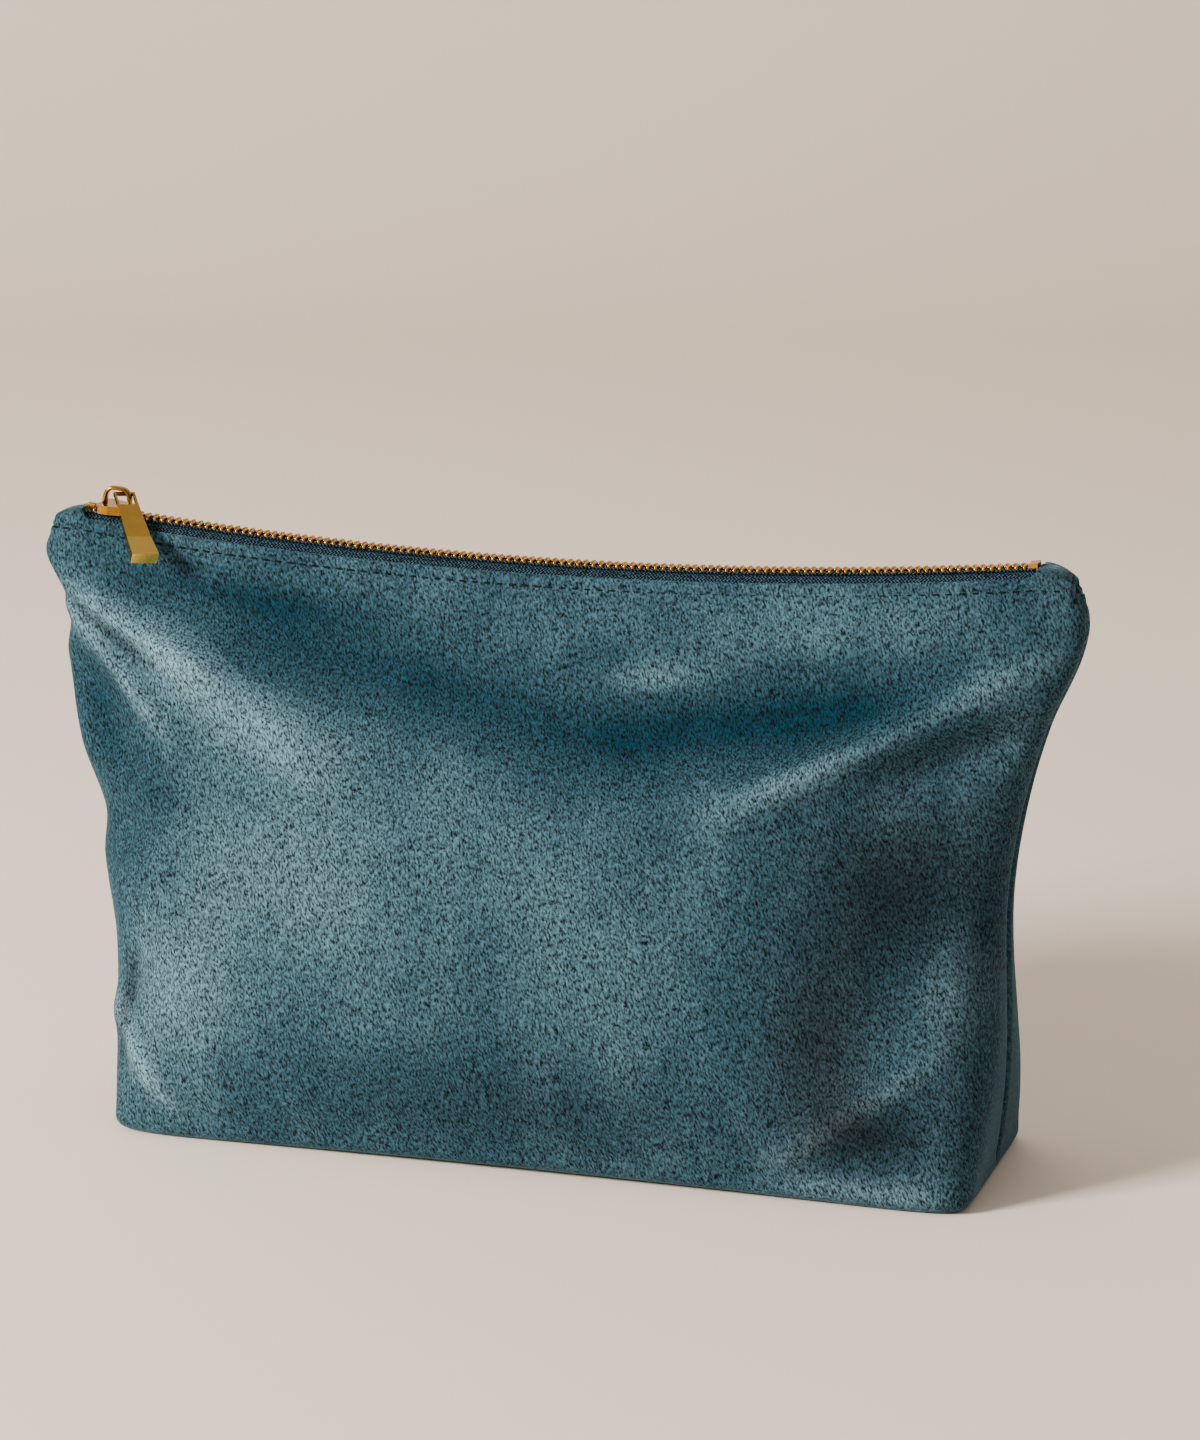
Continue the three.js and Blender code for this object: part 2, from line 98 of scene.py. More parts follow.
def through(stations, at):
    """A smooth curve through (position, value) stations."""
    places = np.array([s[0] for s in stations], float)
    values = np.array([s[1] for s in stations], float)
    slopes = np.empty(len(places))
    for k in range(len(places)):
        before, after = max(k - 1, 0), min(k + 1, len(places) - 1)
        slopes[k] = (values[after] - values[before]) / (places[after] - places[before])
    at = np.asarray(at, float)
    i = np.clip(np.searchsorted(places, at, side="right") - 1, 0, len(places) - 2)
    span = places[i + 1] - places[i]
    s = np.clip((at - places[i]) / span, 0, 1)
    s2, s3 = s * s, s * s * s
    start = (2 * s3 - 3 * s2 + 1) * values[i] + (s3 - 2 * s2 + s) * span * slopes[i]
    end = (3 * s2 - 2 * s3) * values[i + 1] + (s3 - s2) * span * slopes[i + 1]
    return start + end


def zip_z(x):
    return ZIP_MID_HEIGHT + ZIP_RADIUS - np.sqrt(ZIP_RADIUS**2 - np.asarray(x, float) ** 2)


def fold_z(x):
    """Height of the folded fabric edge beside the zip."""
    return zip_z(np.minimum(np.abs(x), ZIP_HALF_LENGTH)) - RIM_BELOW_ZIP


def rim_z(x):
    """Height of a wall's upper edge: the fold, with the corners standing up past the zip's ends."""
    past = np.clip((np.abs(x) - ZIP_HALF_LENGTH) / (TOP_HALF_WIDTH - ZIP_HALF_LENGTH), 0, 1)
    rise = TAB_RISE * smooth(np.abs(x), TAB_START, TAB_START + 1.8)
    return fold_z(x) + rise - CORNER_DROP * (1 - np.sqrt(1 - 0.96 * past**2))


def stitch_z(x):
    """Height of the topstitching, which runs on level past the zip's ends."""
    return fold_z(x) - TOPSTITCH_BELOW


# --- folds ------------------------------------------------------------------------------
# soft ridges (or hollows, with a negative height) across the front: from and to in x and z,
# half-width and height
FRONT_RIDGES = [
    (-138, 144, -78, 118, 4.5, 2.6),  # from the zip's closed end down into the front
    (-106, 130, -44, 98, 9, 3.4),
    (-136, 142, -98, 104, 3, 2.4),    # second line of the same fold
    (-133, 142, -102, 122, 1.5, -1.6),
    (-116, 148, -34, 130, 8, -1.9),   # hollow over it
    (-130, 124, -110, 92, 7, -3.4),   # hollow under it
    (-60, 132, 25, 114, 10, -1.9),    # crossing hollow, left half
    (15, 114, 112, 128, 10, -2.2),    # crossing hollow, right half
    (10, 141, 122, 148, 9, 1.3),      # swelling under the zip
    (52, 98, 131, 138, 6, 3.2),       # up towards the far end of the zip
    (90, 108, 134, 124, 5, -2.6),     # hollow under it
    (-112, 82, -80, 30, 9, 2.2),      # left side, down
    (-116, 34, -92, 8, 3.5, 2.4),     # bottom-left corner
    (-108, 50, -111, 14, 3, -1.8),    # crease beside the left gusset
    (66, 8, 116, 46, 6, 2.2),         # from the base up to the right side
    (88, 10, 116, 22, 5, -1.6),
]
# rounded swellings: centre x and z, half-width, half-height and height
FRONT_SWELLS = [
    (-10, 68, 62, 38, 3.6),           # belly
    (104, 82, 20, 26, -3.6),          # hollow right side
    (84, 34, 15, 18, -3.0),
    (-112, 62, 8, 8, 2.0),
    (-112, 80, 8, 7, -2.0),
    (114, 62, 8, 14, 1.8),
    (-40, 28, 40, 16, 1.2),
    (38, 94, 18, 12, 1.0),
    (-62, 78, 12, 20, 0.9),
    (28, 60, 14, 24, 0.8),
]
BACK_RIDGES = [
    (-132, 140, -62, 110, 9, 3.2),
    (134, 138, 60, 104, 9, 3.4),
    (-128, 122, -88, 92, 9, -2.4),
    (126, 118, 84, 88, 9, -2.4),
    (-60, 118, 62, 122, 11, -1.6),
]
BACK_SWELLS = [
    (8, 66, 66, 38, 3.0),
    (-96, 40, 18, 22, -1.8),
    (98, 46, 18, 22, -1.6),
]
# how far the side seams stand out of their smooth line, as (share of the height, offset)
LEFT_SEAM = [(0, 1), (0.36, 4.8), (0.44, 6.8), (0.52, 5), (0.63, 8), (0.77, 5), (0.87, -2.4),
             (0.935, 1.8), (1, -1.8)]
RIGHT_SEAM = [(0, -1), (0.2, 2), (0.5, 0.8), (0.75, 1.8), (0.91, 3.8), (1, -0.8)]


def ridge(x, z, x0, z0, x1, z1, half, height):
    """Height at x and z of a ridge from (x0, z0) to (x1, z1) that fades at both ends."""
    along = np.array([x1 - x0, z1 - z0])
    length = np.hypot(*along)
    unit = along / length
    s = ((x - x0) * unit[0] + (z - z0) * unit[1]) / length
    across = -(x - x0) * unit[1] + (z - z0) * unit[0]
    fade = smooth(s, -0.12, 0.25) * (1 - smooth(s, 0.65, 1.1))
    return height * np.exp(-((across / half) ** 2)) * fade


def swell(x, z, cx, cz, half_x, half_z, height):
    return height * np.exp(-(((x - cx) / half_x) ** 2) - ((z - cz) / half_z) ** 2)


def folds(side, x, z):
    ridges = FRONT_RIDGES if side < 0 else BACK_RIDGES
    swells = FRONT_SWELLS if side < 0 else BACK_SWELLS
    total = np.zeros_like(x)
    for r in ridges:
        total += ridge(x, z, *r)
    for s in swells:
        total += swell(x, z, *s)
    return total


# --- the wall ---------------------------------------------------------------------------
def wall(side, u, share, tuck=0.0, lift=0.0):
    """Points of the smooth wall: u from the left seam to the right, share of the height."""
    walk = 2 * u - 1
    power = through(SECTION_POWER, share)
    along = np.minimum(np.abs(walk) / CORNER_AT, 1)
    out = np.minimum((1 - np.abs(walk)) / (1 - CORNER_AT), 1)
    pull = (along**power + out**power) ** (-1 / power)
    across, out = np.sign(walk) * along * pull, out * pull
    y = SEAM_HALF_GAP + (through(HALF_DEPTH, share) - tuck - SEAM_HALF_GAP) * out
    a = through(HALF_WIDTH, share) - tuck
    a = a + np.where(across < 0, through(LEFT_SEAM, share), through(RIGHT_SEAM, share)) * along**6
    a = a - SEAM_DIP * np.exp(-((y / 1.7) ** 2)) * smooth(share, 0, 0.08) * (1 - smooth(share, 0.9, 0.99))
    x = a * across + BASE_OFFSET * (1 - share)
    top = TOP_HALF_WIDTH * across
    z = share * fold_z(top) + (rim_z(top) - fold_z(top)) * smooth(share, 0.94, 1) + lift
    return np.stack([x, side * y, z], -1)


def grid_normals(points, side):
    du = np.gradient(points, axis=1)
    dv = np.gradient(points, axis=0)
    n = np.cross(du, dv)
    n /= np.maximum(np.linalg.norm(n, axis=-1, keepdims=True), 1e-9)
    return n if side < 0 else -n


def wall_grid(side, inset, columns, rows, rim_drop=0.0):
    """One face of a layer, inset below the velvet's folded outer face: from the base seam, round
    the base edge and up the wall to its upper edge."""
    u = np.linspace(0, 1, columns)
    edge = []
    for phi in np.linspace(0, math.pi / 2, 9):
        tuck, lift = BASE_EDGE_RADIUS * (1 - math.sin(phi)), BASE_EDGE_RADIUS * (1 - math.cos(phi))
        edge.append(wall(side, u, np.zeros_like(u), tuck, lift))
    parts = []
    ends = edge[0][[0, -1], 0]
    seam_x = ends[0] + (ends[1] - ends[0]) * u
    for k in np.linspace(0, 1, 10)[:-1]:
        row = edge[0].copy()
        row[:, 0] = seam_x + k * (row[:, 0] - seam_x)
        row[:, 1] = side * SEAM_HALF_GAP + k * (row[:, 1] - side * SEAM_HALF_GAP)
        parts.append(row)
    parts.extend(edge[:-1])
    low = BASE_EDGE_RADIUS / ZIP_MID_HEIGHT
    settle = edge[-1] - wall(side, u, np.full_like(u, low))
    for share in np.linspace(low, 1 - rim_drop / ZIP_MID_HEIGHT, rows):
        parts.append(wall(side, u, np.full_like(u, share)) + (1 - smooth(share, low, low + 0.06)) * settle)
    points = np.array(parts)
    normal = grid_normals(points, side)
    x, z = points[..., 0], points[..., 2]
    rim = rim_z(np.clip(x, -TOP_HALF_WIDTH, TOP_HALF_WIDTH))
    keep = smooth(z, 3, 16) * (1 - 0.85 * smooth(z, rim - 16, rim - 3))
    between = smooth(u, 0, 0.07) * (1 - smooth(u, 0.93, 1))
    points = points + normal * (folds(side, x, z) * keep * between[None, :])[..., None]
    normal = grid_normals(points, side)
    under = z - stitch_z(x)
    puffed = 0.25 * np.exp(-(((under - 0.55 * TOPSTITCH_BELOW) / 0.8) ** 2))
    sewn = puffed - 0.55 * np.exp(-((under / 0.6) ** 2))
    points = points + normal * (sewn - inset)[..., None]
    if side < 0:
        middle = np.clip(1 - ((points[..., 0] - BASE_OFFSET) / 100) ** 2, 0, 1)
        forward = np.clip(-points[..., 1] / HALF_DEPTH[0][1], 0, 1) ** 2
        points[..., 2] += BASE_ARCH * middle * forward * (1 - smooth(points[..., 2], 4, 40))
    points[..., 1] = side * np.maximum(side * points[..., 1], SEAM_HALF_GAP)
    return points


def folded_over(points, side):
    """Turns a panel's upper edge in over the zip and down inside the wall."""
    top = points[-1]
    bend = 0.65
    inward = -grid_normals(points, side)[-1] * np.array([1, 1, 0])
    inward /= np.maximum(np.linalg.norm(inward, axis=-1, keepdims=True), 1e-9)
    room = np.clip((np.abs(top[:, 1]) - SEAM_HALF_GAP) / 2.2, 0, 1)[:, None]
    over = []
    for phi in np.linspace(0, math.pi, 9)[1:]:
        shift = inward * bend * (1 - math.cos(phi)) * room
        over.append(top + shift + np.array([0, 0, bend * math.sin(phi)]))
    slope = points[-12] - top
    slope = slope / np.linalg.norm(slope[len(top) // 2])
    over += [over[-1] + slope * drop for drop in (2.0, 5.0, 9.0)]
    return np.concatenate([points, np.array(over)])


# --- meshes -----------------------------------------------------------------------------
def new_mesh(name, vertices, faces):
    mesh = bpy.data.meshes.new(name)
    mesh.from_pydata((np.asarray(vertices) * MM).tolist(), [], [list(map(int, f)) for f in faces])
    mesh.update()
    mesh.polygons.foreach_set("use_smooth", [True] * len(mesh.polygons))
    obj = bpy.data.objects.new(name, mesh)
    bpy.context.scene.collection.objects.link(obj)
    return obj


def grid_faces(rows, columns, closed_columns=False, flip=False):
    faces = []
    last = columns if closed_columns else columns - 1
    for r in range(rows - 1):
        for k in range(last):
            n = (k + 1) % columns
            face = (r * columns + k, r * columns + n, (r + 1) * columns + n, (r + 1) * columns + k)
            faces.append(face[::-1] if flip else face)
    return faces


def apply_modifiers(obj):
    """Makes the modifiers' result the mesh itself."""
    depsgraph = bpy.context.evaluated_depsgraph_get()
    mesh = bpy.data.meshes.new_from_object(obj.evaluated_get(depsgraph))
    obj.modifiers.clear()
    obj.data = mesh


def drop_slivers(obj):
    """Joins the columns that meet at the ends of the base seam."""
    bm = bmesh.new()
    bm.from_mesh(obj.data)
    bmesh.ops.remove_doubles(bm, verts=bm.verts, dist=0.02 * MM)
    bmesh.ops.dissolve_degenerate(bm, dist=0.001 * MM, edges=bm.edges)
    bm.to_mesh(obj.data)
    bm.free()


def panel(name, side, points, thickness, look):
    """A layer of one wall, from the grid of its outer face."""
    shape = points.shape
    obj = new_mesh(name, points.reshape(-1, 3), grid_faces(shape[0], shape[1], flip=side > 0))
    drop_slivers(obj)
    solid = obj.modifiers.new("thickness", "SOLIDIFY")
    solid.thickness = thickness * MM
    solid.offset = -1
    apply_modifiers(obj)
    obj.data.materials.append(look)
    obj.data.polygons.foreach_set("use_smooth", [True] * len(obj.data.polygons))
    return obj


def opens(obj):
    """Bakes the piece's placement into its mesh and reads its points; nothing is done with them."""
    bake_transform(obj)
    co = np.empty(len(obj.data.vertices) * 3)
    obj.data.vertices.foreach_get("co", co)
    co = co.reshape(-1, 3) / MM


# --- materials --------------------------------------------------------------------------
def new_material(name):
    mat = bpy.data.materials.new(name)
    mat.use_nodes = True
    nodes, links = mat.node_tree.nodes, mat.node_tree.links
    return mat, nodes, links, nodes["Principled BSDF"]


def linear(r, g, b):
    """An sRGB colour of 0 to 255 as linear RGBA."""
    def one(v):
        v /= 255
        return v / 12.92 if v <= 0.04045 else ((v + 0.055) / 1.055) ** 2.4
    return (one(r), one(g), one(b), 1)


def coordinates(nodes, links, scale=(1, 1, 1), lean=0.0):
    """Object coordinates, turned about Y by lean degrees and then scaled."""
    vector = nodes.new("ShaderNodeTexCoord").outputs["Object"]
    for name, value in (("Rotation", (0, math.radians(lean), 0)), ("Scale", scale)):
        mapping = nodes.new("ShaderNodeMapping")
        mapping.inputs[name].default_value = value
        links.new(vector, mapping.inputs["Vector"])
        vector = mapping.outputs["Vector"]
    return vector


def noise_node(nodes, links, vector, scale, detail=4.0, rough=0.6):
    node = nodes.new("ShaderNodeTexNoise")
    node.inputs["Scale"].default_value = scale
    node.inputs["Detail"].default_value = detail
    node.inputs["Roughness"].default_value = rough
    links.new(vector, node.inputs["Vector"])
    return node.outputs["Fac"]


def ramp_node(nodes, links, value, stops):
    node = nodes.new("ShaderNodeValToRGB")
    elements = node.color_ramp.elements
    while len(elements) < len(stops):
        elements.new(0.5)
    for element, (position, color) in zip(elements, stops):
        element.position = position
        element.color = color
    links.new(value, node.inputs["Fac"])
    return node.outputs["Color"]


def mix_node(nodes, links, factor, a, b, mode="MIX"):
    node = nodes.new("ShaderNodeMix")
    node.data_type = "RGBA"
    node.blend_type = mode
    for value, key in ((factor, 0), (a, 6), (b, 7)):
        if isinstance(value, (int, float, tuple)):
            node.inputs[key].default_value = value
        else:
            links.new(value, node.inputs[key])
    return node.outputs[2]


def attribute_node(nodes, name):
    node = nodes.new("ShaderNodeAttribute")
    node.attribute_name = name
    return node.outputs["Fac"]


def math_node(nodes, links, operation, *values):
    node = nodes.new("ShaderNodeMath")
    node.operation = operation
    for k, value in enumerate(values):
        if isinstance(value, (int, float)):
            node.inputs[k].default_value = value
        else:
            links.new(value, node.inputs[k])
    return node.outputs[0]


def grey(value):
    return (value, value, value, 1)


def bump_node(nodes, links, height, strength, distance):
    node = nodes.new("ShaderNodeBump")
    node.inputs["Strength"].default_value = strength
    node.inputs["Distance"].default_value = distance * MM
    links.new(height, node.inputs["Height"])
    return node.outputs["Normal"]


def velvet_material():
    """Short pile: its tone comes partly from how it lies and partly from painted highlights and painted
    shade, broken up by fine drawn-out grain and tufts.
    """
    mat, nodes, links, shader = new_material("velvet")
    even = coordinates(nodes, links)
    pile = noise_node(nodes, links, coordinates(nodes, links, (1.1, 1, 0.5), 20), 1900, 2, 0.55)
    tufts = noise_node(nodes, links, even, 620, 3, 0.65)
    brushed = noise_node(nodes, links, coordinates(nodes, links, (1, 1, 0.5)), 36, 4, 0.6)
    lie_and_painted_light = math_node(nodes, links, "MULTIPLY_ADD", brushed, 0.34, attribute_node(nodes, "nap_and_painted_light"))
    # dark teal to pale blue-grey: painted shade at the dark end and painted highlight at the light end, mixed
    # with the pile's lie
    base = ramp_node(nodes, links, lie_and_painted_light, [
        (0.16, linear(3, 34, 46)), (0.56, linear(30, 55, 66)), (1.0, linear(82, 111, 123))])
    # painted shade: multiplies the colour towards a neutral dark where the surface turns from the light
    dark = ramp_node(nodes, links, attribute_node(nodes, "painted_shade"), [
        (0.0, grey(1)), (0.6, (0.34, 0.24, 0.23, 1))])
    grain = ramp_node(nodes, links, pile, [(0.34, grey(0.06)), (0.68, grey(2.3))])
    clumps = ramp_node(nodes, links, tufts, [(0.3, grey(0.8)), (0.7, grey(1.2))])
    colour = base
    for layer in (dark, grain, clumps):
        colour = mix_node(nodes, links, 1.0, colour, layer, "MULTIPLY")
    links.new(colour, shader.inputs["Base Color"])
    shader.inputs["Roughness"].default_value = 0.95
    shader.inputs["Specular IOR Level"].default_value = 0.12
    shader.inputs["Sheen Weight"].default_value = 0.4
    shader.inputs["Sheen Roughness"].default_value = 0.3
    shader.inputs["Sheen Tint"].default_value = linear(150, 190, 205)
    height = math_node(nodes, links, "MULTIPLY_ADD", tufts, 0.6, pile)
    links.new(bump_node(nodes, links, height, 0.8, 0.22), shader.inputs["Normal"])
    return mat


def tape_material():
    """Herringbone: fine diagonal ribs that change direction in narrow stripes along the tape."""
    mat, nodes, links, shader = new_material("zipper_tape")
    where = nodes.new("ShaderNodeTexCoord")
    split = nodes.new("ShaderNodeSeparateXYZ")
    links.new(where.outputs["Object"], split.inputs["Vector"])
    down = math_node(nodes, links, "SUBTRACT", split.outputs["Z"],
                     math_node(nodes, links, "ABSOLUTE", split.outputs["Y"]))
    zigzag = math_node(nodes, links, "PINGPONG", down, 0.75 * MM)
    along = math_node(nodes, links, "ADD", split.outputs["X"], zigzag)
    ribs = math_node(nodes, links, "SINE", math_node(nodes, links, "MULTIPLY", along, math.tau / (0.95 * MM)))
    fleck = noise_node(nodes, links, where.outputs["Object"], 1700, 2, 0.6)
    woven = math_node(nodes, links, "MULTIPLY_ADD", ribs, 0.22, fleck)
    colour = ramp_node(nodes, links, woven, [
        (0.3, linear(1, 4, 9)), (0.52, linear(8, 21, 30)), (0.74, linear(62, 90, 106))])
    links.new(colour, shader.inputs["Base Color"])
    shader.inputs["Roughness"].default_value = 0.85
    shader.inputs["Specular IOR Level"].default_value = 0.08
    links.new(bump_node(nodes, links, ribs, 0.8, 0.1), shader.inputs["Normal"])
    return mat


def weave_material(name, dark, light, pitch):
    """A woven cloth: two crossing waves at 45 degrees, broken up by flecks."""
    mat, nodes, links, shader = new_material(name)
    even = coordinates(nodes, links)
    waves = []
    for angle in (45, -45):
        turn = nodes.new("ShaderNodeMapping")
        turn.inputs["Rotation"].default_value = (0, math.radians(angle), 0)
        links.new(even, turn.inputs["Vector"])
        wave = nodes.new("ShaderNodeTexWave")
        wave.bands_direction = "X"
        wave.inputs["Scale"].default_value = 1 / (pitch * MM) / math.tau * 2
        wave.inputs["Distortion"].default_value = 0.6
        wave.inputs["Detail"].default_value = 1
        links.new(turn.outputs["Vector"], wave.inputs["Vector"])
        waves.append(wave.outputs["Fac"])
    cross = math_node(nodes, links, "MAXIMUM", *waves)
    fleck = noise_node(nodes, links, even, 1400, 2, 0.6)
    both = math_node(nodes, links, "MULTIPLY", cross, fleck)
    colour = ramp_node(nodes, links, both, [(0.15, dark), (0.62, light)])
    links.new(colour, shader.inputs["Base Color"])
    shader.inputs["Roughness"].default_value = 0.8
    shader.inputs["Specular IOR Level"].default_value = 0.15
    links.new(bump_node(nodes, links, cross, 0.5, 0.15), shader.inputs["Normal"])
    return mat


def metal_material(name, colour, rough, wear):
    """Polished metal, stained darker in patches by wear and finely scuffed."""
    mat, nodes, links, shader = new_material(name)
    even = coordinates(nodes, links)
    stain = noise_node(nodes, links, even, 180, 4, 0.6)
    scuffs = noise_node(nodes, links, coordinates(nodes, links, (1, 1, 6)), 900, 3, 0.7)
    deep = tuple(c * (1 - wear) for c in colour[:3]) + (1,)
    tint = ramp_node(nodes, links, stain, [(0.35, deep), (0.65, colour)])
    links.new(tint, shader.inputs["Base Color"])
    shader.inputs["Metallic"].default_value = 1
    rough_range = nodes.new("ShaderNodeMapRange")
    rough_range.inputs["To Min"].default_value = rough * 0.8
    rough_range.inputs["To Max"].default_value = rough * 1.5
    links.new(scuffs, rough_range.inputs["Value"])
    links.new(rough_range.outputs["Result"], shader.inputs["Roughness"])
    links.new(bump_node(nodes, links, scuffs, 0.06, 0.03), shader.inputs["Normal"])
    return mat


velvet_look = velvet_material()
lining_look = weave_material("lining", linear(22, 38, 48), linear(52, 78, 92), 0.35)
interlining_look = weave_material("interlining", linear(180, 172, 156), linear(214, 208, 196), 0.5)
tape_look = tape_material()
# near black: partly the thread's own dark navy, partly painted shade of the stitch holes and the groove they
# sit in
thread_look = weave_material("thread", linear(2, 7, 11), linear(12, 27, 36), 0.25)
pull_gold = metal_material("pull_metal", (0.88, 0.54, 0.1, 1), 0.08, 0.12)
slider_gold = metal_material("slider_metal", (0.34, 0.17, 0.025, 1), 0.18, 0.35)
teeth_gold = metal_material("teeth_metal", (0.52, 0.27, 0.045, 1), 0.22, 0.4)


# --- fabric pieces ----------------------------------------------------------------------
def paint_nap_light_and_shade(obj, side):
    """How the pile lies, with painted light and shade: the first layer runs from 0, dark, to 1, light, and
    mixes the pile's lie with painted highlights on the folds' ridges and painted shade in their hollows; the
    second layer is a painted neutral shade."""
    co = np.empty(len(obj.data.vertices) * 3)
    obj.data.vertices.foreach_get("co", co)
    co = co.reshape(-1, 3) / MM
    for name, rule in (("nap_and_painted_light", nap_and_painted_light), ("painted_shade", painted_shade)):
        layer = obj.data.attributes.new(name, "FLOAT", "POINT")
        layer.data.foreach_set("value", rule(side, co[:, 0], co[:, 2]).astype(np.float32))


# where the pile looks lighter or darker: partly the pile's lie, partly painted highlights along the folds'
# ridges and painted shade in their hollows
NAP_AND_PAINTED_LIGHT_PATCHES = [
    ("ridge", -134, 143, -84, 120, 4.5, 0.3),
    ("ridge", -108, 130, -48, 98, 9, 0.3),
    ("ridge", -133, 140, -98, 104, 3, 0.28),
    ("swell", -121, 112, 7, 13, -0.34),
    ("ridge", -120, 104, -96, 84, 7, -0.16),
    ("ridge", -118, 148, -36, 138, 5, -0.3),
    ("ridge", -96, 138, 30, 112, 9, -0.34),
    ("ridge", 6, 112, 122, 130, 9, -0.44),
    ("swell", 20, 134, 10, 5, -0.12),
    ("swell", 34, 130, 14, 5, 0.2),
    ("ridge", 44, 141, 124, 150, 8, 0.06),
    ("ridge", 52, 98, 138, 143, 4, 0.3),
    ("swell", -92, 40, 18, 24, 0.24),
    ("swell", -60, 76, 34, 26, 0.16),
    ("swell", 8, 78, 30, 24, 0.08),
    ("swell", 28, 52, 10, 22, 0.06),
    ("swell", 114, 56, 7, 14, 0.2),
    ("swell", 10, 20, 60, 12, -0.06),
    ("ridge", -116, 36, -92, 6, 3, 0.34),
    ("ridge", 74, 5, 118, 5, 4, 0.24),
    ("ridge", 70, 10, 118, 44, 3, 0.18),
]
# painted shade: a neutral dark painted on the right side, low in the middle, in the creases and in the hollow
# under the zip's far end, where the surface turns from the light
PAINTED_SHADE_PATCHES = [
    ("swell", 100, 82, 26, 24, 0.5),
    ("swell", 82, 42, 14, 24, 0.5),
    ("swell", 96, 20, 18, 10, 0.45),
    ("ridge", 92, 108, 134, 126, 4, 0.25),
    ("swell", 10, 18, 50, 12, 0.2),
    ("ridge", -109, 50, -112, 12, 3, 0.4),
    ("ridge", -134, 142, -104, 122, 1.5, 0.4),
]


def painted(patches, x, z):
    return sum((ridge if kind == "ridge" else swell)(x, z, *numbers) for kind, *numbers in patches)


# front: painted light and shade from the patches, with the pile's lie; back: a gentle wavy tone
def nap_and_painted_light(side, x, z):
    back = 0.12 * np.sin(x / 31.0 + z / 47.0) + 0.08 * np.sin(x / 13.0 - z / 19.0)
    return np.clip(0.42 + (painted(NAP_AND_PAINTED_LIGHT_PATCHES, x, z) if side < 0 else back), 0, 1)


# painted shade, on the front only
def painted_shade(side, x, z):
    return np.clip(painted(PAINTED_SHADE_PATCHES, x, z), 0, 0.6) if side < 0 else np.zeros_like(x)


for side, word in ((-1, "front"), (1, "back")):
    outer_face = folded_over(wall_grid(side, 0, 320, 180), side)
    outer = panel(f"velvet_{word}", side, outer_face, VELVET, velvet_look)
    paint_nap_light_and_shade(outer, side)
    stiff_face = wall_grid(side, INTERLINING_INSET, 160, 90, INTERLINING_RIM_DROP)
    stiff = panel(f"interlining_sheet_{word}", side, stiff_face, INTERLINING, interlining_look)
    inner_face = wall_grid(side, LINING_INSET, 160, 90, LINING_RIM_DROP)
    inside = panel(f"lining_sheet_{word}", side, inner_face, LINING, lining_look)
    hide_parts(f"outer_{word}_panel")
    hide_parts(f"interlining_{word}")
    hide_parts(f"lining_{word}")
    for piece, slot in ((outer, "velvet"), (stiff, "interlining"), (inside, "lining")):
        if side < 0:
            opens(piece)
        else:
            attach(piece, "root")


# --- zip --------------------------------------------------------------------------------
def parted(x):
    """How far each row stands off the middle: PART_SHIFT past the slider, nothing where it is closed."""
    return PART_SHIFT * (1 - smooth(x, SLIDER_X - 2, SLIDER_X + 2))


def wall_y(side, inset, x, height):
    """y of a layer's face near the rim, at a given x and height."""
    share = np.clip((height - inset) / (fold_z(x) - inset), 0, 1)
    a = through(HALF_WIDTH, share) - inset
    b = through(HALF_DEPTH, share) - inset
    inside = np.clip(np.abs(x - BASE_OFFSET * (1 - share)) / a, 0, 1)
    power = through(SECTION_POWER, share)
    bow = (1 - inside**power) ** (1 / power)
    return side * (SEAM_HALF_GAP + (b - SEAM_HALF_GAP) * bow)


def tape(side, word):
    """A zip tape: level beside the chain, then down inside the wall."""
    x = np.linspace(-ZIP_HALF_LENGTH - 1.5, ZIP_HALF_LENGTH + 1.5, 400)
    z = zip_z(x)
    shift = parted(x) * 0.6
    near = np.minimum(3.0 + shift, np.abs(wall_y(side, TAPE_INSET, x, z - 3.3)) - 0.2)
    profile = [
        (side * (1.15 + shift), z - 1.05),
        (side * (2.0 + shift), z - 1.0),
        (side * near, z - 1.25),
        (side * (0.5 * near + 0.5 * np.abs(wall_y(side, TAPE_INSET, x, z - 3.3))), z - 2.1),
        (wall_y(side, TAPE_INSET, x, z - 3.3), z - 3.4),
        (wall_y(side, TAPE_INSET, x, z - 6.5), z - 6.5),
        (wall_y(side, TAPE_INSET, x, z - 12.5), z - 12.5),
    ]
    points = np.array([np.stack([x, np.broadcast_to(y, x.shape), h], -1) for y, h in profile])
    obj = new_mesh(f"zip_tape_{word}", points.reshape(-1, 3),
                   grid_faces(len(profile), len(x), flip=side < 0))
    solid = obj.modifiers.new("thickness", "SOLIDIFY")
    solid.thickness = TAPE * MM
    solid.offset = -1
    apply_modifiers(obj)
    obj.data.materials.append(tape_look)
    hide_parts(f"zipper_tape_{word}")
    return obj


def rounded_section(half_w, half_h, corner, count=3):
    """A rounded rectangle as points around it."""
    points = []
    for quarter, (sx, sz) in enumerate(((1, 1), (-1, 1), (-1, -1), (1, -1))):
        for k in range(count):
            turn = math.pi / 2 * (quarter + k / (count - 1))
            points.append((sx * (half_w - corner) + corner * math.cos(turn),
                           sz * (half_h - corner) + corner * math.sin(turn)))
    return points


# one tooth from its root on the cord to its tip past the centre: depth, half-width,
# half-height and height of its middle
TOOTH = [(2.55, 0.34, 0.42, -0.1), (2.3, 0.44, 0.6, -0.03), (1.5, 0.43, 0.66, 0), (0.95, 0.4, 0.62, 0),
         (0.1, 0.4, 0.7, 0.04), (-0.4, 0.38, 0.56, 0), (-0.66, 0.28, 0.34, -0.06)]


